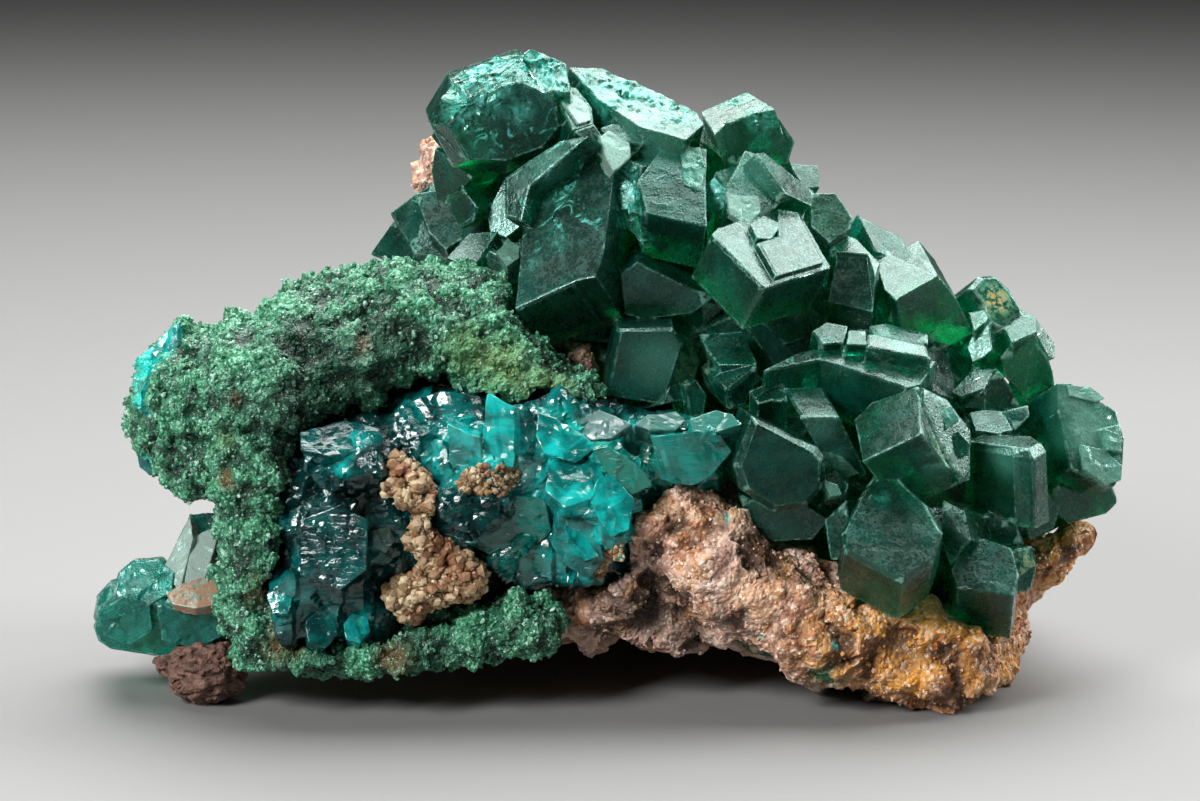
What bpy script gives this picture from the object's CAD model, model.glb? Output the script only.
# A dioptase specimen: emerald crystals on stained rock, a malachite crust and a broken blue-green vein.
import math
import random

import bmesh
import bpy
import numpy as np
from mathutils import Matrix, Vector
from mathutils.bvhtree import BVHTree
from mathutils.kdtree import KDTree


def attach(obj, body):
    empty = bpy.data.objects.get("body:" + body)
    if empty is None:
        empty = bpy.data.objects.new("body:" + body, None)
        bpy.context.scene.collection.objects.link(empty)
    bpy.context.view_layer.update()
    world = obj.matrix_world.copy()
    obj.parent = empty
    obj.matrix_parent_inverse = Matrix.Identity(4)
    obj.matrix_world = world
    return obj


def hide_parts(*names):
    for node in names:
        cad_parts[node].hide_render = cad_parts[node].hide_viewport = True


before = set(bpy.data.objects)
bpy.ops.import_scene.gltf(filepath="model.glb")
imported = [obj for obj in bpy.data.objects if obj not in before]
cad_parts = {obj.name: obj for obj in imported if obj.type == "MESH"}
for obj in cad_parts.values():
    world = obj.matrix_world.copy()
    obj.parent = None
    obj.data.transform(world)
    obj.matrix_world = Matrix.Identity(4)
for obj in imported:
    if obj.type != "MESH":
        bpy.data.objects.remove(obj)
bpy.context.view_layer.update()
mm = 0.001
mergeGap = 0.002        # mm, corners of the CAD meshes that are one
flatWithin = 0.6        # degrees, faces of the CAD meshes that are one
wornEdges = 22          # degrees, edges that turn by more are worn round
sharpEdges = 8          # degrees, edges that turn by more can be chipped
plateWear = 0.06        # mm, width of the worn edges of steps and chips
spotFade = 1.6          # how quickly a spot of colour fades towards its rim

# where the camera stands, and where a point of the photograph lies on the specimen
shot = {
    "elevation": 12,        # degrees above level
    "distance": 300,        # mm
    "lens": 144,
    "sensor": 36,
    "nearest": 10,          # mm, where the view starts
    "pixelsPerMm": 16,      # at the distance of the target
    "middle": (600, 400.5),
    "footOnPhoto": (609, 659),
    "footInFrame": (0.21, -0.35),   # mm, where that point stands on the resting surface
}
tilt = math.radians(shot["elevation"])
rightWay = Vector((1, 0, 0))
upWay = Vector((0, math.sin(tilt), math.cos(tilt)))
towardsCamera = Vector((0, -math.cos(tilt), math.sin(tilt)))
footX, footY = shot["footOnPhoto"]
midX, midY = shot["middle"]
target = (Vector((*shot["footInFrame"], 0)) * mm
          + rightWay * (midX - footX) / shot["pixelsPerMm"] * mm
          + upWay * (footY - midY) / shot["pixelsPerMm"] * mm)
eye = target + towardsCamera * shot["distance"] * mm


def sightLine(x, y):
    across = (x - midX) / shot["pixelsPerMm"] * mm
    up = (midY - y) / shot["pixelsPerMm"] * mm
    return (target + rightWay * across + upWay * up - eye).normalized()


def treeOf(obj):
    bm = bmesh.new()
    bm.from_mesh(obj.data)
    tree = BVHTree.FromBMesh(bm)
    bm.free()
    return tree


def seenSpot(tree, x, y):
    # the place and normal of the surface seen at x and y on the photograph
    return tree.ray_cast(eye, sightLine(x, y))[:2]


def pickOnly(obj):
    bpy.ops.object.select_all(action="DESELECT")
    obj.select_set(True)
    bpy.context.view_layer.objects.active = obj


def newObject(name, data):
    made = bpy.data.objects.new(name, data)
    bpy.context.scene.collection.objects.link(made)
    return made


def copyOfNode(nodeName, name):
    piece = newObject(name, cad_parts[nodeName].data.copy())
    piece.data.materials.clear()
    pickOnly(piece)
    bpy.ops.object.mode_set(mode="EDIT")
    bpy.ops.mesh.select_all(action="SELECT")
    bpy.ops.mesh.remove_doubles(threshold=mergeGap * mm)
    bpy.ops.mesh.dissolve_limited(angle_limit=math.radians(flatWithin))
    bpy.ops.mesh.select_all(action="DESELECT")
    bpy.ops.object.mode_set(mode="OBJECT")
    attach(piece, "root")
    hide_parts(nodeName)
    return piece


def applyAll(piece):
    pickOnly(piece)
    for modifier in list(piece.modifiers):
        bpy.ops.object.modifier_apply(modifier=modifier.name)


def remesh(piece, voxel):
    skin = piece.modifiers.new("skin", "REMESH")
    skin.mode = "VOXEL"
    skin.voxel_size = voxel * mm
    applyAll(piece)


def corners(piece):
    co = np.empty(len(piece.data.vertices) * 3, dtype=np.float32)
    piece.data.vertices.foreach_get("co", co)
    return co.reshape(-1, 3).astype(float)


def normalsOf(piece):
    no = np.empty(len(piece.data.vertices) * 3, dtype=np.float32)
    piece.data.vertices.foreach_get("normal", no)
    return no.reshape(-1, 3).astype(float)


def moveCorners(piece, places):
    piece.data.vertices.foreach_set("co", places.astype(np.float32).ravel())
    piece.data.update()


def weather(piece, kind, size, height, middle=0.5, depth=2):
    picture = bpy.data.textures.new(f"{kind.lower()}Relief", kind)
    picture.noise_scale = size * mm
    if kind == "CLOUDS":
        picture.noise_depth = depth
    push = piece.modifiers.new("relief", "DISPLACE")
    push.texture = picture
    push.texture_coords = "LOCAL"
    push.mid_level = middle
    push.strength = height * mm
    applyAll(piece)


def facet(piece, size, height, seed, stretch=(1, 1, 1), part=1.0):
    # every patch of the surface gets its own tilt and rise, as on broken crystal
    co, no = corners(piece), normalsOf(piece)
    rng = np.random.default_rng(seed)
    area = sum(face.area for face in piece.data.polygons)
    count = max(8, int(area / (size * mm) ** 2))
    warped = co * np.array(stretch)
    picks = rng.choice(len(co), size=min(count, len(co)), replace=False)
    tilts = rng.normal(0, height / size, (len(picks), 3))
    rises = rng.uniform(-0.4, 0.4, len(picks)) * height * mm   # the rest of the height is tilt
    tree = KDTree(len(picks))
    for n, pick in enumerate(picks):
        tree.insert(warped[pick], n)
    tree.balance()
    cell = np.array([tree.find(point)[1] for point in warped])
    push = rises[cell] + ((co - co[picks[cell]]) * tilts[cell]).sum(axis=1)
    push = np.clip(push, -height * mm, height * mm) * part
    moveCorners(piece, co + no * push[:, None])


def swell(piece, amount):
    moveCorners(piece, corners(piece) + normalsOf(piece) * amount * mm)


def roughen(piece, settings):
    # a fine even mesh, a little larger, with the reliefs of the settings pressed in one after another
    remesh(piece, settings["voxel"])
    swell(piece, settings["swell"])
    places, ways = corners(piece), normalsOf(piece)
    for kind, *numbers in settings["relief"]:
        if kind == "FACETS":
            facet(piece, *numbers)
        else:
            weather(piece, kind, *numbers)
    tagRaised(piece, places, ways, settings["pitDepth"])


def settle(piece):
    # nothing goes below the resting surface
    co = corners(piece)
    co[:, 2] = np.maximum(co[:, 2], 0.0)
    moveCorners(piece, co)


def mark(piece, name, values):
    layer = piece.data.attributes.new(name, "FLOAT", "POINT")
    layer.data.foreach_set("value", np.asarray(values, dtype=np.float32))


def nearSpots(piece, tree, spots):
    # 1 at the spots of the photograph, falling off to 0 at their radius in mm
    co = corners(piece)
    strength = np.zeros(len(co))
    for x, y, radius, amount in spots:
        place = seenSpot(tree, x, y)[0]
        if place is None:
            continue
        away = np.linalg.norm(co - np.array(place), axis=1) / (radius * mm)
        strength = np.maximum(strength, amount * np.clip(spotFade - spotFade * away, 0, 1))
    return strength


def tagRaised(piece, before, ways, depth):
    # 0 in the pits and 1 on the tips, after the relief
    raised = ((corners(piece) - before) * ways).sum(axis=1) / (depth * mm)
    mark(piece, "raised", np.clip(0.5 + raised, 0, 1))


def tagNear(piece, tree, tags):
    for name, spots in tags.items():
        mark(piece, name, nearSpots(piece, tree, spots))


def tagAll(piece, name, value):
    mark(piece, name, [value] * len(piece.data.vertices))


def grainShape(name, seed, stretch):
    # one uneven grain with few faces, modelled once
    bpy.ops.object.select_all(action="DESELECT")
    bpy.ops.mesh.primitive_ico_sphere_add(subdivisions=1, radius=1)
    grain = bpy.context.object
    grain.name = name
    rng = random.Random(seed)
    for vert in grain.data.vertices:
        vert.co *= rng.uniform(0.7, 1.2)
        vert.co.z *= stretch
    return grain


def scatter(piece, shapes, settings, keep=lambda place, normal: True):
    # many small copies of the shapes over the surface, joined in one mesh
    rng = np.random.default_rng(settings["seed"])
    mesh = piece.data
    mesh.calc_loop_triangles()
    tris = np.empty(len(mesh.loop_triangles) * 3, dtype=np.int32)
    mesh.loop_triangles.foreach_get("vertices", tris)
    tris = tris.reshape(-1, 3)
    co = corners(piece)
    a, b, c = co[tris[:, 0]], co[tris[:, 1]], co[tris[:, 2]]
    cross = np.cross(b - a, c - a)
    area = np.linalg.norm(cross, axis=1)
    picks = rng.choice(len(tris), size=settings["count"], p=area / area.sum())
    u, v = rng.random(len(picks)), rng.random(len(picks))
    over = u + v > 1
    u[over], v[over] = 1 - u[over], 1 - v[over]
    places = a[picks] + (b[picks] - a[picks]) * u[:, None] + (c[picks] - a[picks]) * v[:, None]
    normals = cross[picks] / area[picks][:, None]
    small, large = settings["size"]
    points, faces, shades = [], [], []
    for place, normal in zip(places, normals):
        if not keep(place, normal):
            continue
        shape = shapes[rng.integers(len(shapes))]
        size = (small + (large - small) * rng.random() ** 2) * mm
        way = Vector(normal) + Vector(rng.normal(0, settings["lean"], 3))
        turn = way.to_track_quat("Z", "Y").to_matrix()
        spin = rng.random() * math.tau
        first = len(points)
        shade = rng.random()
        for vert in shape.data.vertices:
            x, y, z = vert.co
            x, y = x * math.cos(spin) - y * math.sin(spin), x * math.sin(spin) + y * math.cos(spin)
            points.append(Vector(place) + turn @ (Vector((x, y, z)) * size)
                          + Vector(normal) * size * settings["rise"])
            shades.append(shade)
        faces += [[first + n for n in face.vertices] for face in shape.data.polygons]
    made = bpy.data.meshes.new(settings["name"])
    made.from_pydata(points, [], faces)
    grains = newObject(settings["name"], made)
    mark(grains, "shade", shades)
    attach(grains, "root")
    return grains


def facing(angle, lean):
    # the way to the camera, leaned over by lean degrees towards that angle on the photograph
    a, b = math.radians(angle), math.radians(lean)
    return (rightWay * math.cos(a) + upWay * math.sin(a)) * math.sin(b) + towardsCamera * math.cos(b)


def shard(tree, outline, way, stand, thick, taper):
    # a block with a flat face: its outline on the photograph, (angle, lean) of that face, how far it
    # stands out and how thick it is in mm, and the size of its root against its face
    middle = [sum(point[n] for point in outline) / len(outline) for n in (0, 1)]
    spot, spotNormal = seenSpot(tree, *middle)
    normal = facing(*way) if way else spotNormal   # without a way it lies flat on the face below
    anchor = spot + (towardsCamera if way else normal) * stand * mm
    places = []
    for x, y in outline:
        line = sightLine(x, y)
        places.append(eye + line * ((anchor - eye).dot(normal) / line.dot(normal)))
    made = bpy.data.meshes.new("shard")
    made.from_pydata(places, [], [range(len(places))])
    block = newObject("shard", made)
    pickOnly(block)
    bpy.ops.object.mode_set(mode="EDIT")
    bpy.ops.mesh.select_all(action="SELECT")
    bpy.ops.mesh.extrude_region_move(TRANSFORM_OT_translate={"value": -normal * thick * mm})
    root = sum(places, Vector()) / len(places) - normal * thick * mm
    bpy.ops.transform.resize(value=(taper, taper, taper), center_override=root)
    bpy.ops.mesh.select_all(action="SELECT")
    bpy.ops.mesh.normals_make_consistent(inside=False)
    bpy.ops.mesh.select_all(action="DESELECT")
    bpy.ops.object.mode_set(mode="OBJECT")
    return block


def joinPieces(pieces, name):
    pickOnly(pieces[0])
    for piece in pieces:
        piece.select_set(True)
    bpy.ops.object.join()
    pieces[0].name = name
    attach(pieces[0], "root")
    return pieces[0]


def material(name):
    made = bpy.data.materials.new(name)
    made.use_nodes = True
    return made, made.node_tree.nodes["Principled BSDF"]


def add(made, kind, **values):
    one = made.node_tree.nodes.new("ShaderNode" + kind)
    for key, value in values.items():
        if hasattr(one, key):
            setattr(one, key, value)
        else:
            one.inputs[key].default_value = value
    return one


def join(made, source, goal):
    made.node_tree.links.new(source, goal)


def objectPlace(made):
    return add(made, "TexCoord").outputs["Object"]


def noiseAt(made, place, size, detail=4, rough=0.6, warp=0.0):
    one = add(made, "TexNoise", Scale=1 / (size * mm), Detail=detail, Roughness=rough, Distortion=warp)
    join(made, place, one.inputs["Vector"])
    return one.outputs["Fac"]


def cellsAt(made, place, size, output="Distance"):
    one = add(made, "TexVoronoi", Scale=1 / (size * mm))
    join(made, place, one.inputs["Vector"])
    return one.outputs[output]


def ramp(made, value, low, high, toLow=0.0, toHigh=1.0):
    one = add(made, "MapRange")
    join(made, value, one.inputs["Value"])
    for name, number in (("From Min", low), ("From Max", high), ("To Min", toLow), ("To Max", toHigh)):
        one.inputs[name].default_value = number
    return one.outputs["Result"]


def combine(made, operation, a, b):
    one = add(made, "Math", operation=operation)
    for socket, value in zip(one.inputs, (a, b)):
        if isinstance(value, (int, float)):
            socket.default_value = value
        else:
            join(made, value, socket)
    return one.outputs[0]


def times(made, a, b):
    return combine(made, "MULTIPLY", a, b)


def oneMinus(made, a):
    return combine(made, "SUBTRACT", 1.0, a)


def blend(made, factor, a, b):
    one = add(made, "Mix", data_type="RGBA")
    for socket, value in ((one.inputs[0], factor), (one.inputs[6], a), (one.inputs[7], b)):
        if isinstance(value, tuple):
            socket.default_value = (*value, 1)   # a plain colour
        elif isinstance(value, (int, float)):
            socket.default_value = value
        else:
            join(made, value, socket)
    return one.outputs[2]


def attributeOf(made, name):
    return add(made, "Attribute", attribute_name=name).outputs["Fac"]


def bump(made, height, strength, distance, before=None):
    one = add(made, "Bump", Strength=strength, Distance=distance * mm)
    join(made, height, one.inputs["Height"])
    if before is not None:
        join(made, before, one.inputs["Normal"])
    return one.outputs["Normal"]


def absorbInside(made, colour, density):
    inside = add(made, "VolumeAbsorption", Color=(*colour, 1), Density=density)
    join(made, inside.outputs["Volume"], made.node_tree.nodes["Material Output"].inputs["Volume"])


def emeraldMaterial(look):
    made, surface = material(look["name"])
    place = objectPlace(made)
    cracked = attributeOf(made, "cracked")
    dusty = attributeOf(made, "dusty")
    clouded = ramp(made, noiseAt(made, place, 2.6, 5, 0.62), 0.45, 0.62)
    colour = blend(made, clouded, look["deep"], look["light"])
    wisps = ramp(made, noiseAt(made, place, 1.3, 8, 0.72, 1.6), 0.55, 0.63)
    wispMix = times(made, wisps, attributeOf(made, "veined"))
    colour = blend(made, wispMix, colour, look["crack"])
    crackNoise = ramp(made, noiseAt(made, place, 0.7, 6, 0.7, 0.8), 0.38, 0.62)
    crackMix = times(made, cracked, crackNoise)
    colour = blend(made, crackMix, colour, look["crack"])
    worn = ramp(made, noiseAt(made, place, 0.4, 5, 0.7), 0.44, 0.56, 0.0, 0.75)
    chipped = times(made, ramp(made, attributeOf(made, "sharp"), 0.8, 0.97), worn)
    paleMix = combine(made, "MAXIMUM", attributeOf(made, "pale"), chipped)
    colour = blend(made, paleMix, colour, look["pale"])
    dustNoise = ramp(made, noiseAt(made, place, 0.5, 5, 0.7), 0.45, 0.55)
    dustMix = combine(made, "ADD", times(made, dusty, dustNoise), ramp(made, dusty, 1.0, 2.0))
    dustMix = combine(made, "MINIMUM", dustMix, 1.0)
    colour = blend(made, dustMix, colour, look["dust"])
    join(made, colour, surface.inputs["Base Color"])
    broken = combine(made, "MAXIMUM", combine(made, "MAXIMUM", crackMix, wispMix), paleMix)
    milky = times(made, clouded, look["milkiness"])
    cloudy = combine(made, "MAXIMUM", milky, times(made, broken, 0.6))
    clear = combine(made, "SUBTRACT", look["clearness"], cloudy)
    clear = times(made, clear, oneMinus(made, dustMix))
    join(made, clear, surface.inputs["Transmission Weight"])
    satin = ramp(made, noiseAt(made, place, 1.1, 8, 0.75), 0.36, 0.64, *look["roughness"])
    etched = cellsAt(made, place, 0.14, "Color")
    satin = times(made, satin, ramp(made, etched, 0.3, 0.7, 0.82, 1.3))
    join(made, satin, surface.inputs["Roughness"])
    surface.inputs["IOR"].default_value = look["ior"]
    surface.inputs["Specular Tint"].default_value = (*look["sheen"], 1)
    surface.inputs["Coat Weight"].default_value = look["satin"]
    surface.inputs["Coat Roughness"].default_value = 0.4
    speckle = bump(made, cellsAt(made, place, 0.14), 0.35, 0.03)
    hillocks = bump(made, noiseAt(made, place, 0.45, 4, 0.6), 0.22, 0.06, speckle)
    steps = combine(made, "SNAP", noiseAt(made, place, 1.8, 2, 0.4), 0.07)
    terraces = bump(made, steps, 0.35, 0.25, hillocks)
    join(made, terraces, surface.inputs["Normal"])
    join(made, terraces, surface.inputs["Coat Normal"])
    absorbInside(made, look["absorbed"], look["density"])
    return made


def cutFine(piece, longest, part=None, least=0.2, rounds=6):
    # halves the edges longer than longest, in mm; with part, only where it is above least
    bm = bmesh.new()
    bm.from_mesh(piece.data)
    bmesh.ops.triangulate(bm, faces=bm.faces)
    layer = bm.verts.layers.float.new("part")
    for n, vert in enumerate(bm.verts):
        vert[layer] = 1.0 if part is None else part[n]
    for _ in range(rounds):
        long = [edge for edge in bm.edges if edge.calc_length() > longest * mm
                and max(vert[layer] for vert in edge.verts) > least]
        if not long:
            break
        bmesh.ops.subdivide_edges(bm, edges=long, cuts=1)
        bmesh.ops.triangulate(bm, faces=[face for face in bm.faces if len(face.verts) > 3])
    bm.verts.layers.float.remove(bm.verts.layers.float["part"])
    bm.to_mesh(piece.data)
    bm.free()


crystalSettings = {
    "edgeWear": 0.07,       # mm, width of the worn edges
    "finest": 0.85,         # mm, longest edge of the finished mesh
    "finestCracked": 0.32,  # mm, the same where it is cracked
    "plateauFrom": 3.0,     # square mm, smallest face that can have a growth plateau
    "plateauSide": 0.7,     # mm, its shortest side
    "plateauShare": 0.55,
    "plateauInset": (0.12, 0.45),                   # mm in from the edges
    "plateauRise": (-0.04, 0.04, 0.06, 0.08),       # mm
    "plateauSeed": 21,
    "waver": (0.9, 0.07),   # mm, over what length and how far faces and edges wander from true
    "cracks": ((1.5, 0.22, 41), (0.6, 0.09, 42)),   # size and height in mm, seed
    "look": {
        "name": "emeraldDioptase", "deep": (0.012, 0.44, 0.28), "light": (0.02, 0.64, 0.45),
        "crack": (0.22, 0.85, 0.76), "dust": (0.42, 0.27, 0.08), "pale": (0.36, 0.48, 0.43),
        "sheen": (0.5, 0.88, 0.77), "absorbed": (0.0, 0.79, 0.66), "density": 1450, "ior": 1.66,
        "clearness": 0.97, "milkiness": 0.03, "satin": 0.09, "roughness": (0.16, 0.38),
    },
    # x and y on the photograph, radius in mm, amount
    "cracked": [(480, 84, 2.6, 0.9), (462, 106, 2.0, 0.8), (540, 62, 2.6, 1), (520, 112, 1.3, 0.5),
                (480, 66, 2.6, 1), (555, 80, 1.8, 0.9), (630, 95, 3.4, 0.9), (670, 112, 2.6, 0.8),
                (600, 85, 2.6, 0.8), (626, 174, 1.1, 1), (639, 200, 1.1, 1), (628, 220, 1.8, 0.7),
                (716, 200, 1.4, 1), (735, 100, 1.6, 0.5), (760, 116, 1.4, 0.6), (640, 240, 1.4, 0.6),
                (1105, 455, 1.2, 0.5), (880, 500, 0.8, 0.4)],
    "veined": [(545, 170, 2.2, 1), (530, 200, 1.6, 0.8), (560, 150, 1.6, 0.9), (500, 120, 3, 0.9),
               (540, 120, 2, 0.7), (575, 180, 2.6, 1), (560, 215, 2.4, 0.9), (590, 225, 2.0, 0.7),
               (545, 250, 2, 0.5), (520, 120, 2, 0.6), (750, 185, 1.5, 0.4), (900, 280, 1.5, 0.3)],
    "dusty": [(995, 300, 1.4, 1), (690, 370, 2.0, 0.6), (940, 450, 1.5, 0.4), (700, 350, 1.5, 0.5)],
    "pale": [(550, 165, 1.8, 0.35), (1090, 430, 2.6, 0.45), (1075, 400, 2.0, 0.4), (880, 330, 1.6, 0.4),
             (850, 320, 1.4, 0.4), (905, 345, 1.2, 0.4), (820, 430, 1.4, 0.3), (835, 460, 1.2, 0.3),
             (750, 175, 2.2, 0.3), (655, 150, 2.4, 0.25), (1000, 460, 1.6, 0.3), (660, 365, 2.4, 0.25),
             (720, 140, 1.4, 0.2), (640, 115, 2.0, 0.5), (900, 235, 1.4, 0.3)],
    # steps and chips: outline on the photograph, (angle, lean) or None, how far it stands out and
    # how thick it is in mm, taper, tags
    "plates": {
        "heart": ([(726, 192), (744, 196), (759, 196), (761, 211), (747, 226), (730, 214)],
                  None, 0.12, 0.5, 1.0, {"pale": 0.7}),
        "endStep": ([(1080, 444), (1106, 450), (1122, 466), (1122, 480), (1106, 485), (1084, 469)],
                    None, 0.2, 0.6, 1.0, {"pale": 0.5}),
        "endStepHigh": ([(1104, 428), (1120, 434), (1122, 452), (1108, 450)],
                        None, 0.3, 0.6, 1.0, {"pale": 0.5}),
        "endRidge": ([(1066, 384), (1090, 386), (1106, 398), (1096, 402), (1070, 396)],
                     None, 0.12, 0.5, 1.0, {"pale": 0.6}),
        "leaningStep": ([(823, 452), (843, 458), (860, 474), (845, 478), (826, 470)],
                        None, 0.25, 0.6, 1.0, {"pale": 0.5}),
        "leaningStepLow": ([(822, 479), (838, 484), (842, 495), (831, 497)],
                           (60, 20), 0.4, 1.0, 0.9, {"pale": 0.5}),
        "notchCrystal": ([(944, 442), (958, 431), (971, 444), (969, 455), (952, 456)],
                         (40, 20), 0.3, 1.0, 0.9, {}),
        "notchSmall": ([(939, 409), (952, 405), (960, 419), (947, 430)],
                       (60, 30), 0.3, 0.9, 0.9, {"pale": 0.3}),
        "brightSquare": ([(496, 252), (508, 238), (520, 246), (519, 258), (507, 266)],
                         (95, 52), 0.8, 1.4, 0.9, {"pale": 0.6}),
        "greyFlat": ([(600, 137), (609, 130), (630, 143), (630, 157), (614, 172), (606, 158)],
                     (60, 36), 0.5, 1.2, 0.9, {"pale": 0.8}),
        "turquoiseChip": ([(614, 190), (622, 174), (636, 186), (634, 208), (622, 210)],
                          (160, 20), 0.4, 1.0, 0.85, {"cracked": 1.0}),
        "turquoiseKnob": ([(634, 200), (644, 196), (648, 206), (642, 216), (634, 212)],
                          (20, 30), 0.5, 0.9, 0.85, {"cracked": 1.0}),
        "glitterChip": ([(704, 188), (714, 177), (726, 190), (724, 208), (716, 213), (705, 203)],
                        (190, 24), 0.4, 1.0, 0.85, {"cracked": 1.0}),
        "blockStep": ([(680, 150), (700, 147), (706, 170), (700, 190), (684, 184)],
                      None, 0.1, 0.4, 1.0, {"pale": 0.3}),
        "slabChip": ([(560, 98), (572, 90), (588, 104), (592, 120), (578, 124)],
                     None, 0.15, 0.6, 0.95, {"pale": 0.8}),
        "lowStep": ([(1010, 552), (1030, 548), (1036, 566), (1020, 576), (1008, 568)],
                    None, 0.12, 0.5, 1.0, {"dusty": 0.6}),
    },
}


def tagSharp(piece, name, angle):
    # 1 on the corners of outward edges that turn by more than angle
    bm = bmesh.new()
    bm.from_mesh(piece.data)
    turns = [max(edge.calc_face_angle_signed(0) for edge in vert.link_edges) for vert in bm.verts]
    values = [turn > math.radians(angle) for turn in turns]
    bm.free()
    mark(piece, name, values)


def wearEdges(piece, width):
    worn = piece.modifiers.new("wornEdges", "BEVEL")
    worn.width = width * mm
    worn.segments = 2
    worn.limit_method = "ANGLE"
    worn.angle_limit = math.radians(wornEdges)
    worn.use_clamp_overlap = False
    applyAll(piece)


def raisePlateaus(piece, settings):
    # a growth plateau on some of the larger plain faces, a little in from their edges
    rng = random.Random(settings["plateauSeed"])
    bm = bmesh.new()
    bm.from_mesh(piece.data)
    plain = [face for face in bm.faces
             if len(face.verts) <= 7 and face.calc_area() > settings["plateauFrom"] * mm * mm
             and min(edge.calc_length() for edge in face.edges) > settings["plateauSide"] * mm]
    for face in plain:
        if rng.random() < settings["plateauShare"]:
            inset = rng.uniform(*settings["plateauInset"]) * mm
            rise = rng.choice(settings["plateauRise"]) * mm
            bmesh.ops.inset_individual(bm, faces=[face], thickness=inset, depth=rise)
    bm.to_mesh(piece.data)
    bm.free()


def buildCrystals(nodeName, name, settings):
    piece = copyOfNode(nodeName, name)
    tree = treeOf(piece)
    raisePlateaus(piece, settings)
    wearEdges(piece, settings["edgeWear"])
    cutFine(piece, settings["finest"])
    cracked = nearSpots(piece, tree, settings["cracked"])
    cutFine(piece, settings["finestCracked"], cracked)
    cracked = nearSpots(piece, tree, settings["cracked"])
    tagSharp(piece, "sharp", sharpEdges)
    for size, height, seed in settings["cracks"]:
        facet(piece, size, height, seed, part=cracked)
    weather(piece, "CLOUDS", *settings["waver"])
    tagNear(piece, tree, {tag: settings[tag] for tag in ("cracked", "dusty", "veined", "pale")})
    piece.data.materials.append(emeraldMaterial(settings["look"]))
    return piece


def buildPlates(piece, carriers, name, tags, finest, facets):
    # the shards of one look, joined in one mesh; carriers are pairs of a tree and the plates on it,
    # finest the longest edge in mm, facets their size and height in mm, seed and stretch
    plates = []
    for tree, settings in carriers:
        for outline, way, stand, thick, taper, values in settings.values():
            plate = shard(tree, outline, way, stand, thick, taper)
            for tag in tags:
                tagAll(plate, tag, values.get(tag, 0.0))
            plate.data.materials.append(piece.data.materials[0])
            plates.append(plate)
    plates = joinPieces(plates, name)
    wearEdges(plates, plateWear)
    cutFine(plates, finest)
    tagSharp(plates, "sharp", sharpEdges)
    facet(plates, *facets)
    return plates


crystals = buildCrystals("dioptase_crystals", "dioptaseCrystals", crystalSettings)
plainTree = treeOf(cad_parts["dioptase_crystals"])
crystalPlates = buildPlates(crystals, [(plainTree, crystalSettings["plates"])], "crystalPlates",
                            ("pale", "dusty", "cracked"), 0.4, (0.9, 0.05, 37))
print("crystals", len(crystals.data.polygons), len(crystalPlates.data.polygons))

# the small group at the left: as the main crystals, but bluer and clearer
sideSettings = dict(crystalSettings, cracked=[(135, 578, 1.6, 0.8), (120, 605, 1.4, 0.6)],
                    dusty=[(200, 590, 1.6, 0.8)], veined=[(130, 610, 3, 0.8), (205, 545, 2, 0.5)], pale=[])
sideSettings["look"] = dict(crystalSettings["look"], name="sideDioptase", deep=(0.005, 0.46, 0.38),
                            light=(0.01, 0.76, 0.64), dust=(0.3, 0.16, 0.1), density=800, clearness=0.92)
sideSettings["plates"] = {
    "twinLeft": ([(190, 516), (193, 538), (187, 562), (180, 590), (168, 582), (163, 566)],
                 (140, 34), 1.0, 1.6, 0.9, {"pale": 1.0}),
    "twinRight": ([(193, 537), (222, 522), (208, 570), (203, 584), (183, 593), (188, 560)],
                  (100, 40), 1.2, 1.6, 0.9, {"pale": 1.0}),
    "twinBack": ([(190, 514), (215, 512), (223, 522), (193, 538)], (60, 50), 0.6, 1.6, 0.9, {}),
    "coatedPlate": ([(166, 594), (180, 584), (204, 577), (222, 583), (222, 603), (194, 608), (172, 604)],
                    (100, 46), 1.4, 0.7, 0.95, {"dusty": 1.75, "cracked": 0.8}),
    "bulbFront": ([(122, 578), (136, 562), (158, 560), (174, 572), (172, 592), (150, 604), (128, 598)],
                  (110, 26), 0.7, 2.4, 0.8, {"cracked": 0.35}),
    "lowLeft": ([(97, 612), (124, 596), (150, 606), (152, 632), (128, 646), (104, 636)],
                (240, 16), 0.6, 2.4, 0.85, {"cracked": 0.1}),
    "lowRight": ([(156, 606), (190, 608), (222, 606), (226, 634), (196, 650), (162, 640)],
                 (-70, 16), 0.8, 2.4, 0.85, {"cracked": 0.2}),
}
sideCrystals = buildCrystals("side_crystals", "sideCrystals", sideSettings)
sidePlates = buildPlates(sideCrystals, [(treeOf(sideCrystals), sideSettings["plates"])], "sidePlates",
                         ("pale", "dusty", "cracked"), 0.35, (1.1, 0.06, 36))
print("side", len(sideCrystals.data.polygons), len(sidePlates.data.polygons))


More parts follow.
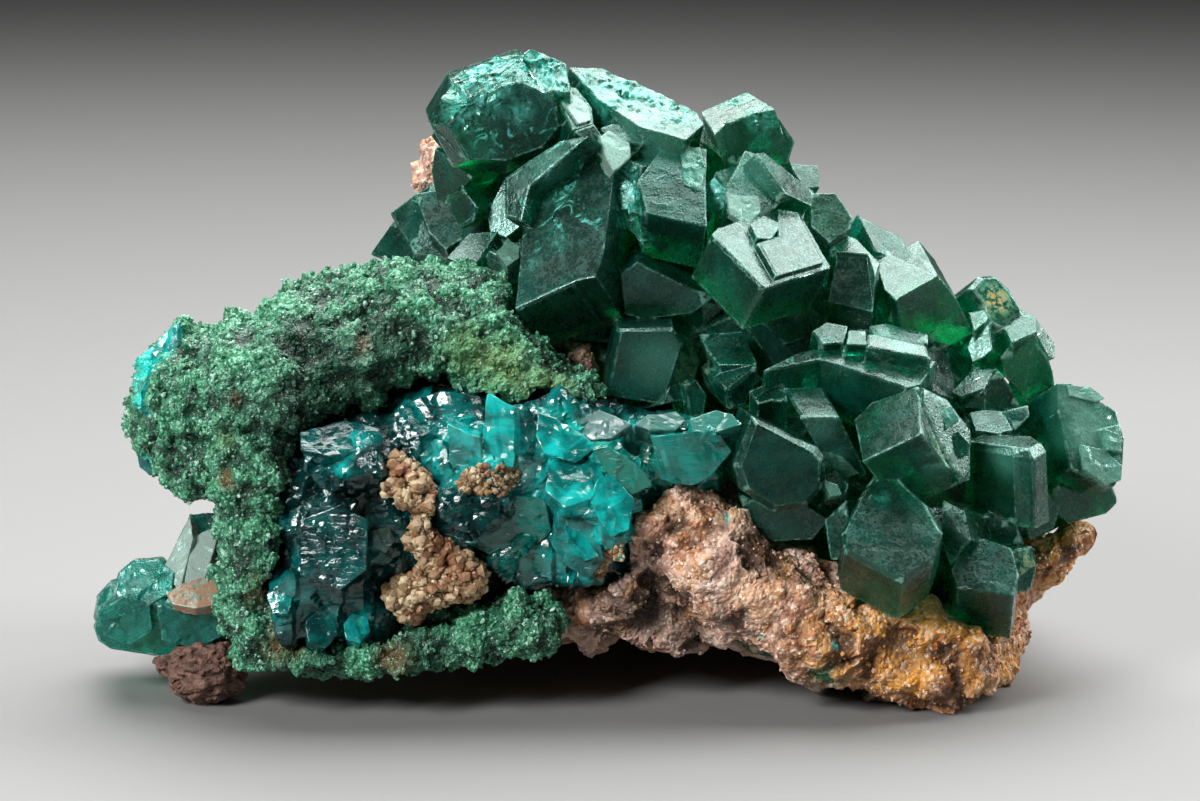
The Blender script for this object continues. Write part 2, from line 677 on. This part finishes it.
def veinMaterial(look):
    made, surface = material("brokenDioptase")
    place = objectPlace(made)
    bright = attributeOf(made, "bright")
    patch = ramp(made, noiseAt(made, place, 1.8, 4, 0.6, 0.5), 0.4, 0.62)
    dark = blend(made, patch, *look["dark"])
    lit = blend(made, patch, *look["lit"])
    colour = blend(made, bright, dark, lit)
    emerald = attributeOf(made, "emerald")
    colour = blend(made, times(made, emerald, 0.8), colour, look["emerald"])
    colour = blend(made, attributeOf(made, "pale"), colour, look["pale"])
    leaning = add(made, "Mapping", vector_type="POINT")
    leaning.inputs["Rotation"].default_value = (0, math.radians(look["lean"]), 0)
    leaning.inputs["Scale"].default_value = (0.45, 1.0, 2.2)
    join(made, place, leaning.inputs["Vector"])
    streaks = ramp(made, noiseAt(made, leaning.outputs["Vector"], 0.7, 7, 0.7, 1.2), 0.6, 0.67)
    patchy = ramp(made, noiseAt(made, place, 2.4, 3), 0.45, 0.6)
    streakMix = times(made, times(made, streaks, patchy), 0.8)
    colour = blend(made, streakMix, colour, look["streak"])
    join(made, colour, surface.inputs["Base Color"])
    milky = combine(made, "MAXIMUM", times(made, bright, 0.35), times(made, emerald, 0.3))
    clear = combine(made, "SUBTRACT", 0.8, milky)
    pale = attributeOf(made, "pale")
    clear = times(made, clear, oneMinus(made, times(made, pale, 0.8)))
    clear = times(made, clear, oneMinus(made, streakMix))
    join(made, clear, surface.inputs["Transmission Weight"])
    surface.inputs["IOR"].default_value = look["ior"]
    gloss = ramp(made, noiseAt(made, place, 0.8, 4), 0.35, 0.65, 0.04, 0.22)
    gloss = combine(made, "MAXIMUM", gloss, times(made, pale, 0.45))
    join(made, gloss, surface.inputs["Roughness"])
    ripples = bump(made, noiseAt(made, leaning.outputs["Vector"], 0.8, 5, 0.55, 0.8), 0.38, 0.15)
    join(made, ripples, surface.inputs["Normal"])
    absorbInside(made, look["absorbed"], look["density"])
    return made


veinSettings = {
    "voxel": 0.22,
    "look": {
        "dark": ((0.002, 0.06, 0.062), (0.006, 0.24, 0.22)), "lit": ((0.002, 0.22, 0.2), (0.01, 0.82, 0.76)),
        "emerald": (0.003, 0.46, 0.33), "pale": (0.17, 0.31, 0.28), "streak": (0.5, 0.86, 0.82),
        "lean": 28,         # degrees, of the streaks
        "absorbed": (0.0, 0.82, 0.76), "density": 900, "ior": 1.66,
    },
    "patches": ((2.6, 0.45, 30, (1, 1, 0.6)), (1.0, 0.2, 31, (1, 1, 0.7))),   # size, height, seed, stretch
    "emerald": [(720, 450, 4.5, 1), (670, 460, 4, 0.9), (620, 470, 2.4, 0.8), (560, 425, 1.6, 0.5),
                (520, 550, 2.4, 0.5)],
    "pale": [(600, 424, 1.6, 0.6), (715, 415, 1.6, 0.4), (655, 418, 1.6, 0.45), (520, 465, 1.2, 0.6)],
    "bright": [(347, 443, 1.2, 1), (318, 440, 1.0, 0.9), (342, 470, 0.8, 0.9), (300, 560, 1.2, 0.5),
               (285, 520, 1.2, 0.5), (460, 450, 3.4, 0.95), (500, 440, 4, 1), (560, 440, 4, 0.95),
               (600, 520, 5, 1), (560, 490, 4, 0.9), (615, 470, 4, 0.9), (430, 410, 3, 0.6),
               (350, 440, 2.4, 0.6), (640, 450, 4, 0.9), (320, 450, 2, 0.4), (700, 440, 4, 0.7),
               (275, 600, 2.4, 0.7), (355, 628, 2.4, 0.8), (580, 560, 3.4, 0.8)],
    "plates": {
        "tallBright": ([(488, 394), (515, 407), (518, 440), (513, 468), (486, 463), (482, 430)],
                       (200, 10), 0.7, 1.8, 0.8, {"bright": 1.0}),
        "leftBright": ([(447, 424), (463, 431), (480, 438), (482, 462), (462, 475), (449, 463)],
                       (250, 22), 0.6, 1.6, 0.8, {"bright": 1.0}),
        "mintPanel": ([(538, 412), (556, 419), (580, 432), (597, 447), (575, 463), (545, 453), (536, 436)],
                      (70, 24), 0.9, 2.0, 0.8, {"bright": 0.9}),
        "greySplinter": ([(519, 411), (530, 404), (537, 425), (532, 448), (521, 456)],
                         (10, 30), 0.9, 1.6, 0.8, {"bright": 0.35}),
        "upperDark": ([(412, 400), (440, 391), (480, 396), (485, 410), (478, 432), (450, 424), (425, 418)],
                      (110, 20), 0.5, 2.0, 0.8, {"bright": 0.25}),
        "brightEnd": ([(598, 478), (613, 473), (635, 500), (629, 529), (612, 537), (600, 521), (590, 500)],
                      (20, 18), 0.9, 2.0, 0.8, {"bright": 1.0}),
        "streakedBand": ([(548, 464), (570, 457), (598, 461), (606, 480), (590, 500), (565, 508),
                          (545, 490)],
                         (80, 30), 0.7, 2.0, 0.85, {"bright": 0.85}),
        "lowerMint": ([(556, 511), (578, 508), (598, 530), (604, 560), (590, 579), (566, 566), (552, 545)],
                      (-40, 14), 0.8, 2.0, 0.85, {"bright": 0.7}),
        "darkRight": ([(593, 450), (608, 447), (629, 459), (647, 474), (653, 486), (629, 495), (614, 483),
                       (602, 465)],
                      (-60, 20), 1.0, 2.2, 0.85, {"bright": 0.2, "emerald": 0.9}),
        "tealRight": ([(650, 437), (690, 433), (722, 436), (732, 452), (710, 477), (689, 487), (662, 480)],
                      (-70, 12), 0.6, 2.2, 0.85, {"bright": 0.45, "emerald": 0.5}),
        "paleTopLeft": ([(572, 424), (599, 409), (632, 424), (612, 438), (590, 440)],
                        (120, 30), 0.8, 1.6, 0.85, {"pale": 0.6}),
        "paleTopMiddle": ([(634, 425), (648, 414), (676, 411), (686, 420), (676, 430), (650, 430)],
                          (80, 34), 0.8, 1.6, 0.85, {"pale": 0.5, "emerald": 0.4}),
        "paleTopRight": ([(689, 420), (716, 410), (732, 414), (742, 424), (718, 432), (692, 432)],
                         (100, 30), 0.8, 1.6, 0.85, {"pale": 0.35, "emerald": 0.7}),
        "darkLow": ([(456, 500), (500, 492), (545, 500), (552, 530), (530, 552), (490, 556), (462, 540)],
                    (-80, 16), 0.4, 2.2, 0.85, {"bright": 0.2, "emerald": 0.5}),
        "darkLowLeft": ([(300, 520), (340, 505), (368, 520), (366, 570), (340, 590), (300, 575)],
                        (180, 12), 0.3, 2.0, 0.85, {"bright": 0.1}),
        "roundDark": ([(305, 622), (318, 610), (334, 616), (338, 634), (325, 648), (308, 642)],
                      (60, 20), 0.6, 2.0, 0.8, {"bright": 0.2}),
        "roundCyan": ([(343, 624), (352, 613), (368, 618), (371, 632), (360, 642), (346, 640)],
                      (80, 24), 0.7, 1.8, 0.8, {"bright": 0.9}),
        "leftCyan": ([(266, 594), (280, 588), (292, 598), (288, 614), (272, 614)],
                     (120, 20), 0.5, 1.6, 0.8, {"bright": 0.7}),
        "greyBlock": ([(374, 530), (389, 526), (396, 540), (386, 552), (373, 546)],
                      (20, 44), 0.7, 1.2, 0.9, {"pale": 0.6}),
        "greyBlockLow": ([(364, 545), (376, 540), (382, 554), (370, 562)],
                         (150, 40), 0.7, 1.2, 0.9, {"pale": 0.5}),
        "upperLeft": ([(300, 432), (345, 420), (380, 428), (372, 448), (330, 456), (300, 450)],
                      (90, 40), 0.4, 1.8, 0.85, {"bright": 0.15}),
        "paleRidge": ([(560, 514), (575, 520), (600, 556), (590, 560), (570, 540)],
                      (40, 40), 1.0, 0.8, 0.8, {"bright": 0.9}),
    },
    "crustPlates": {
        "edgeUpper": ([(178, 322), (163, 334), (152, 352), (150, 378), (166, 372), (178, 345)],
                      (150, 30), 0.5, 1.4, 0.85, {"bright": 1.0}),
        "edgeLower": ([(150, 366), (141, 392), (139, 408), (150, 404), (160, 384), (162, 368)],
                      (170, 34), 0.5, 1.4, 0.85, {"bright": 0.9}),
        "underLobe": ([(136, 452), (150, 450), (158, 466), (150, 475), (139, 468)],
                      (200, 30), 0.4, 1.2, 0.85, {"bright": 0.3}),
    },
}
crustTree = treeOf(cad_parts["malachite_crust"])
vein = copyOfNode("blue_green_vein", "blueGreenVein")
veinTree = treeOf(vein)
remesh(vein, veinSettings["voxel"])
for patch in veinSettings["patches"]:
    facet(vein, *patch)
tagNear(vein, veinTree, {tag: veinSettings[tag] for tag in ("bright", "emerald", "pale")})
vein.data.materials.append(veinMaterial(veinSettings["look"]))
veinPlates = buildPlates(vein, [(veinTree, veinSettings["plates"]), (crustTree, veinSettings["crustPlates"])],
                         "veinPlates", ("bright", "emerald", "pale"), 0.45,
                         (0.9, 0.07, 35, (1, 1, 0.5)))
print("vein", len(vein.data.polygons), len(veinPlates.data.polygons))


def malachiteMaterial(look):
    made, surface = material("malachite")
    place = objectPlace(made)
    shade = attributeOf(made, "shade")
    raised = attributeOf(made, "raised")
    lit = oneMinus(made, times(made, attributeOf(made, "dark"), 0.95))
    broad = ramp(made, noiseAt(made, place, 2.6, 5), 0.4, 0.62)
    fine = ramp(made, noiseAt(made, place, 0.4, 6, 0.7), 0.4, 0.68)
    sparkle = cellsAt(made, place, 0.15, "Color")
    colour = blend(made, times(made, broad, lit), look["deep"], look["body"])
    tips = times(made, ramp(made, raised, 0.3, 0.95), lit)
    colour = blend(made, times(made, tips, 0.75), colour, look["tip"])
    colour = blend(made, times(made, times(made, fine, lit), 0.5), colour, look["velvet"])
    pale = ramp(made, shade, 0.68, 1.0, 0.0, 0.9)
    colour = blend(made, times(made, pale, lit), colour, look["glint"])
    colour = blend(made, ramp(made, sparkle, 0.3, 0.48, 0.6, 0.0), colour, look["between"])
    sparks = times(made, ramp(made, sparkle, 0.6, 0.8, 0.0, 0.6), lit)
    colour = blend(made, sparks, colour, look["spark"])
    pits = ramp(made, raised, 0.1, 0.42, 0.85, 0.0)
    colour = blend(made, pits, colour, look["pit"])
    olive = times(made, attributeOf(made, "olive"), 0.65)
    colour = blend(made, olive, colour, look["olive"])
    for stain in ("brown", "cyan"):
        colour = blend(made, attributeOf(made, stain), colour, look[stain])
    join(made, colour, surface.inputs["Base Color"])
    join(made, ramp(made, sparkle, 0.35, 0.75, 0.55, 0.14), surface.inputs["Roughness"])
    tiny = bump(made, noiseAt(made, place, 0.1, 4, 0.7), 0.5, 0.04)
    sparkling = bump(made, cellsAt(made, place, 0.15), 0.8, -0.08, tiny)
    join(made, sparkling, surface.inputs["Normal"])
    return made


malachiteSettings = {
    "voxel": 0.19, "swell": 0.2, "pitDepth": 0.9,
    # kind, size and height in mm, middle, detail
    "relief": (("CLOUDS", 2.4, 1.3, 0.5, 1), ("VORONOI", 1.35, -1.1, 0.45), ("VORONOI", 0.5, -0.4, 0.4)),
    "look": {
        "deep": (0.002, 0.022, 0.012), "body": (0.012, 0.17, 0.075), "tip": (0.05, 0.28, 0.135),
        "velvet": (0.09, 0.38, 0.2), "glint": (0.52, 0.78, 0.65), "between": (0.004, 0.07, 0.035),
        "spark": (0.28, 0.68, 0.45), "pit": (0.004, 0.022, 0.012), "olive": (0.14, 0.27, 0.08),
        "brown": (0.13, 0.07, 0.02), "cyan": (0.02, 0.6, 0.52),
    },
    "tags": {
        "dark": [(300, 345, 3.4, 0.9), (345, 375, 3.6, 0.95), (390, 345, 2.6, 0.8), (265, 420, 2.4, 0.7),
                 (300, 400, 3, 0.9), (420, 655, 3, 0.7), (300, 655, 3, 0.6), (245, 560, 1.6, 0.6),
                 (480, 640, 2, 0.5), (205, 350, 2, 0.5), (430, 390, 2.4, 0.6), (228, 420, 1.2, 0.8)],
        "olive": [(470, 352, 2.2, 0.8), (505, 365, 2.4, 0.9), (545, 390, 2.2, 0.9), (580, 400, 1.4, 0.6),
                  (185, 320, 1.6, 0.5), (225, 440, 1, 0.6)],
        "brown": [(228, 480, 0.9, 0.8), (262, 585, 1.6, 0.8), (285, 640, 1.8, 0.8), (395, 660, 1.6, 0.6),
                  (360, 345, 1, 0.5), (236, 400, 0.6, 0.6)],
        "cyan": [(150, 365, 2.2, 1), (165, 335, 1.8, 1), (146, 400, 1.2, 0.8), (150, 462, 0.9, 0.7)],
    },
    "grains": {"name": "malachiteGrains", "seed": 11, "count": 9000, "size": (0.06, 0.2),
               "lean": 0.9, "rise": 0.1},
}
malachite = copyOfNode("malachite_crust", "malachiteCrust")
malachiteTree = treeOf(malachite)
roughen(malachite, malachiteSettings)
grainLong, grainBlunt = grainShape("grainLong", 3, 1.9), grainShape("grainBlunt", 4, 1.1)
malachiteGrains = scatter(malachite, [grainLong, grainBlunt], malachiteSettings["grains"])
tagAll(malachiteGrains, "raised", 0.6)
malachiteLook = malachiteMaterial(malachiteSettings["look"])
for piece in (malachite, malachiteGrains):
    tagNear(piece, malachiteTree, malachiteSettings["tags"])
    piece.data.materials.append(malachiteLook)
print("malachite", len(malachite.data.polygons), len(malachiteGrains.data.polygons))


def rockMaterial(look):
    made, surface = material("stainedRock")
    place = objectPlace(made)
    shade = attributeOf(made, "shade")
    rusty = attributeOf(made, "rusty")
    raised = attributeOf(made, "raised")
    broad = ramp(made, noiseAt(made, place, 2.4, 5, 0.65), 0.4, 0.6)
    warm = ramp(made, noiseAt(made, place, 1.7, 5, 0.65, 0.4), 0.48, 0.62)
    fine = ramp(made, noiseAt(made, place, 0.35, 6, 0.7), 0.4, 0.65)
    sugar = cellsAt(made, place, 0.26, "Color")
    pale = blend(made, broad, *look["pale"])
    pale = blend(made, times(made, warm, 0.75), pale, look["warm"])
    rust = blend(made, broad, *look["rust"])
    colour = blend(made, times(made, rusty, 0.97), pale, rust)
    colour = blend(made, times(made, fine, 0.4), colour, look["dirt"])
    colour = blend(made, ramp(made, sugar, 0.3, 0.45, 0.4, 0.0), colour, look["between"])
    colour = blend(made, ramp(made, sugar, 0.6, 0.82, 0.0, 0.65), colour, look["sugar"])
    colour = blend(made, ramp(made, shade, 0.6, 1.0, 0.0, 0.5), colour, look["grain"])
    pits = ramp(made, raised, 0.1, 0.5, 0.85, 0.0)
    colour = blend(made, pits, colour, look["pit"])
    for stain in ("dark", "green", "turquoise"):
        colour = blend(made, attributeOf(made, stain), colour, look[stain])
    join(made, colour, surface.inputs["Base Color"])
    join(made, ramp(made, sugar, 0.35, 0.75, 0.65, 0.15), surface.inputs["Roughness"])
    tiny = bump(made, noiseAt(made, place, 0.1, 4, 0.7), 0.6, 0.05)
    sugared = bump(made, cellsAt(made, place, 0.26), 0.9, -0.14, tiny)
    join(made, sugared, surface.inputs["Normal"])
    return made


rockSettings = {
    "voxel": 0.32, "swell": 0.35, "pitDepth": 0.9,
    "relief": (("FACETS", 2.2, 0.4, 5), ("CLOUDS", 1.2, 0.8, 0.5, 3), ("FACETS", 0.9, 0.12, 6),
               ("VORONOI", 1.3, -0.4, 0.4)),
    "look": {
        "pale": ((0.46, 0.25, 0.19), (0.84, 0.62, 0.52)), "rust": ((0.46, 0.15, 0.015), (0.88, 0.4, 0.04)),
        "warm": (0.74, 0.34, 0.1), "dirt": (0.2, 0.1, 0.06), "between": (0.28, 0.13, 0.08),
        "sugar": (0.9, 0.72, 0.56), "grain": (0.85, 0.7, 0.58), "pit": (0.05, 0.022, 0.012),
        "dark": (0.03, 0.016, 0.01), "green": (0.01, 0.09, 0.04), "turquoise": (0.05, 0.6, 0.55),
    },
    "openAir": (-0.3, 1.5),     # mm over the surface: grains grow only where this much is free
    "tags": {
        "rusty": [(930, 660, 8, 1), (1060, 545, 5, 1), (850, 640, 5, 0.8), (1000, 640, 6, 1),
                  (700, 520, 2, 0.5), (760, 600, 3, 0.4), (650, 520, 1.6, 0.5)],
        "dark": [(640, 600, 3.2, 1), (655, 575, 2.4, 0.95), (690, 630, 2.4, 0.8), (720, 615, 1.6, 0.6),
                 (560, 360, 3, 0.9), (600, 380, 2.4, 0.9), (780, 545, 1.4, 0.8), (975, 600, 1.6, 0.7),
                 (905, 690, 1.2, 0.5)],
        "green": [(712, 640, 1.8, 1), (735, 645, 2.0, 1), (762, 648, 1.7, 1), (826, 670, 1.6, 1),
                  (842, 680, 1.7, 1), (860, 688, 1.5, 1), (600, 645, 1.4, 0.6)],
        "turquoise": [(731, 522, 0.7, 1), (764, 634, 0.4, 1), (835, 645, 0.35, 1), (801, 625, 0.3, 1)],
    },
    "grains": {"name": "rockGrains", "seed": 12, "count": 4200, "size": (0.1, 0.26),
               "lean": 0.9, "rise": -0.1},
    "frontGrains": {"name": "frontGrains", "seed": 14, "count": 13500, "size": (0.06, 0.18),
                    "lean": 0.9, "rise": 0.2},
}
rock = copyOfNode("host_rock", "hostRock")
rockTree = treeOf(rock)
roughen(rock, rockSettings)
settle(rock)
coverTrees = [treeOf(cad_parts[name])
              for name in ("dioptase_crystals", "malachite_crust", "blue_green_vein")]


def inOpenAir(place, normal):
    # false where another mineral lies close over the surface
    low, high = rockSettings["openAir"]
    way = Vector(normal)
    start = Vector(place) + way * low * mm
    return all(tree.ray_cast(start, way, (high - low) * mm)[0] is None for tree in coverTrees)


def inOpenFront(place, normal):
    return Vector(normal).dot(towardsCamera) > 0.0 and inOpenAir(place, normal)


grainSugar = grainShape("grainSugar", 9, 1.3)
rockGrains = scatter(rock, [grainBlunt, grainSugar], rockSettings["grains"], inOpenAir)
frontGrains = scatter(rock, [grainBlunt, grainSugar], rockSettings["frontGrains"], inOpenFront)
rockLook = rockMaterial(rockSettings["look"])
for piece in (rock, rockGrains, frontGrains):
    tagNear(piece, rockTree, rockSettings["tags"])
    piece.data.materials.append(rockLook)
for piece in (rockGrains, frontGrains):
    tagAll(piece, "raised", 0.8)
    settle(piece)
print("rock", len(rock.data.polygons), len(rockGrains.data.polygons), len(frontGrains.data.polygons))


def grainyMaterial(look):
    made, surface = material(look["name"])
    grain = add(made, "Mapping", vector_type="POINT")
    grain.inputs["Scale"].default_value = look["stretch"]
    join(made, objectPlace(made), grain.inputs["Vector"])
    place = grain.outputs["Vector"]
    shade = attributeOf(made, "shade")
    fine = ramp(made, noiseAt(made, place, 0.6, 6, 0.7), 0.35, 0.65)
    broad = ramp(made, noiseAt(made, place, 1.8, 4), 0.48, 0.62)
    colour = blend(made, fine, look["dark"], look["light"])
    colour = blend(made, ramp(made, shade, 0.3, 1.0, 0.0, 0.8), colour, look["pale"])
    colour = blend(made, times(made, broad, 0.7), colour, look["warm"])
    pits = ramp(made, attributeOf(made, "raised"), 0.15, 0.5, 0.9, 0.0)
    colour = blend(made, pits, colour, look["pit"])
    join(made, colour, surface.inputs["Base Color"])
    join(made, ramp(made, shade, 0, 1, 0.6, 0.2), surface.inputs["Roughness"])
    tiny = bump(made, noiseAt(made, place, 0.12, 4, 0.7), 0.7, 0.06)
    join(made, tiny, surface.inputs["Normal"])
    return made


calciteSettings = {
    "voxel": 0.13, "swell": 0.0, "pitDepth": 0.8,
    "relief": (("CLOUDS", 1.1, 1.0, 0.5, 2), ("VORONOI", 0.6, -0.45, 0.4)),
    "look": {
        "name": "sugaryCalcite", "dark": (0.07, 0.035, 0.015), "light": (0.38, 0.23, 0.1),
        "pale": (0.72, 0.58, 0.38), "warm": (0.26, 0.1, 0.045), "pit": (0.02, 0.012, 0.008),
        "stretch": (1, 1, 1),
    },
    # crumbs on the vein: x and y on the photograph, radius in mm
    "crumbs": [(470, 483, 0.7), (483, 480, 0.9), (497, 480, 0.9), (510, 477, 0.7), (615, 562, 1.1),
               (604, 570, 0.8)],
    "crumbGrains": {"name": "crumbs", "seed": 15, "count": 60000, "size": (0.06, 0.24),
                    "lean": 0.9, "rise": 0.4},
    "grains": {"name": "calciteGrains", "seed": 13, "count": 2300, "size": (0.06, 0.42),
               "lean": 0.9, "rise": 0.1},
}
calcite = copyOfNode("calcite_patch", "calcitePatch")
roughen(calcite, calciteSettings)
calciteGrains = scatter(calcite, [grainBlunt, grainSugar], calciteSettings["grains"])
crumbSpots = [(seenSpot(veinTree, x, y)[0], radius * mm) for x, y, radius in calciteSettings["crumbs"]]


def underCrumbs(place, normal):
    return any((Vector(place) - spot).length < radius for spot, radius in crumbSpots)


crumbs = scatter(vein, [grainBlunt, grainSugar], calciteSettings["crumbGrains"], underCrumbs)
calciteGrains = joinPieces([calciteGrains, crumbs], "calciteGrains")
tagAll(calciteGrains, "raised", 0.8)
calciteLook = grainyMaterial(calciteSettings["look"])
calcite.data.materials.append(calciteLook)
calciteGrains.data.materials.append(calciteLook)

noduleSettings = {
    "voxel": 0.13, "swell": 0.1, "pitDepth": 0.8,
    "relief": (("CLOUDS", 0.9, 0.8, 0.5, 4), ("FACETS", 0.5, 0.14, 7, (0.4, 1, 2))),
    "look": {
        "name": "fibrousNodule", "dark": (0.06, 0.028, 0.02), "light": (0.2, 0.1, 0.07),
        "pale": (0.5, 0.4, 0.35), "warm": (0.24, 0.13, 0.09), "pit": (0.02, 0.01, 0.008),
        "stretch": (0.35, 1, 2.2),
    },
}
nodule = copyOfNode("brown_nodule", "brownNodule")
roughen(nodule, noduleSettings)
settle(nodule)
nodule.data.materials.append(grainyMaterial(noduleSettings["look"]))
print("calcite", len(calcite.data.polygons), "nodule", len(nodule.data.polygons))

for shape in (grainLong, grainBlunt, grainSugar):
    bpy.data.objects.remove(shape)

stageSettings = {
    "floor": (0.2, 0.2, 0.197), "floorSide": 6,     # metres
    "floorDrop": 0.02,                              # mm under the resting surface
    "room": (0.1, 0.105, 0.1), "roomStrength": 0.45,
    "aim": (0, 0, 15),                              # mm, what the lights point at
    # place and size in mm, power in W, spread in degrees
    "lights": {
        "overhead": ((20, 115, 255), (380, 260), 1.45, 130),
        "leftFront": ((-220, -230, 220), (140, 140), 0.3, 70),
        "rightRim": ((260, 60, 170), (110, 180), 0.2, 80),
    },
}
bpy.ops.object.select_all(action="DESELECT")
bpy.ops.mesh.primitive_plane_add(size=stageSettings["floorSide"],
                                 location=(0, 0, -stageSettings["floorDrop"] * mm))
floor = bpy.context.object
floor.name = "floor"
bpy.ops.object.transform_apply(location=True, rotation=True, scale=True)
floorLook, floorSurface = material("paleFloor")
floorSurface.inputs["Base Color"].default_value = (*stageSettings["floor"], 1)
floorSurface.inputs["Roughness"].default_value = 0.6
floor.data.materials.append(floorLook)

for name, (place, size, power, spread) in stageSettings["lights"].items():
    lamp = bpy.data.lights.new(name, "AREA")
    lamp.shape = "RECTANGLE"
    lamp.size, lamp.size_y = size[0] * mm, size[1] * mm
    lamp.energy = power
    lamp.spread = math.radians(spread)
    holder = newObject(name, lamp)
    holder.location = Vector(place) * mm
    aimed = Vector(stageSettings["aim"]) * mm - holder.location
    holder.rotation_euler = aimed.to_track_quat("-Z", "Y").to_euler()

world = bpy.data.worlds.new("room")
bpy.context.scene.world = world
world.use_nodes = True
world.node_tree.nodes["Background"].inputs[0].default_value = (*stageSettings["room"], 1)
world.node_tree.nodes["Background"].inputs[1].default_value = stageSettings["roomStrength"]

cameraData = bpy.data.cameras.new("camera")
cameraData.lens = shot["lens"]
cameraData.sensor_width = shot["sensor"]
cameraData.clip_start = shot["nearest"] * mm
camera = newObject("camera", cameraData)
camera.location = eye
camera.rotation_euler = towardsCamera.to_track_quat("Z", "Y").to_euler()
bpy.context.scene.camera = camera
bpy.context.scene.view_settings.view_transform = "Standard"

print("stage set")
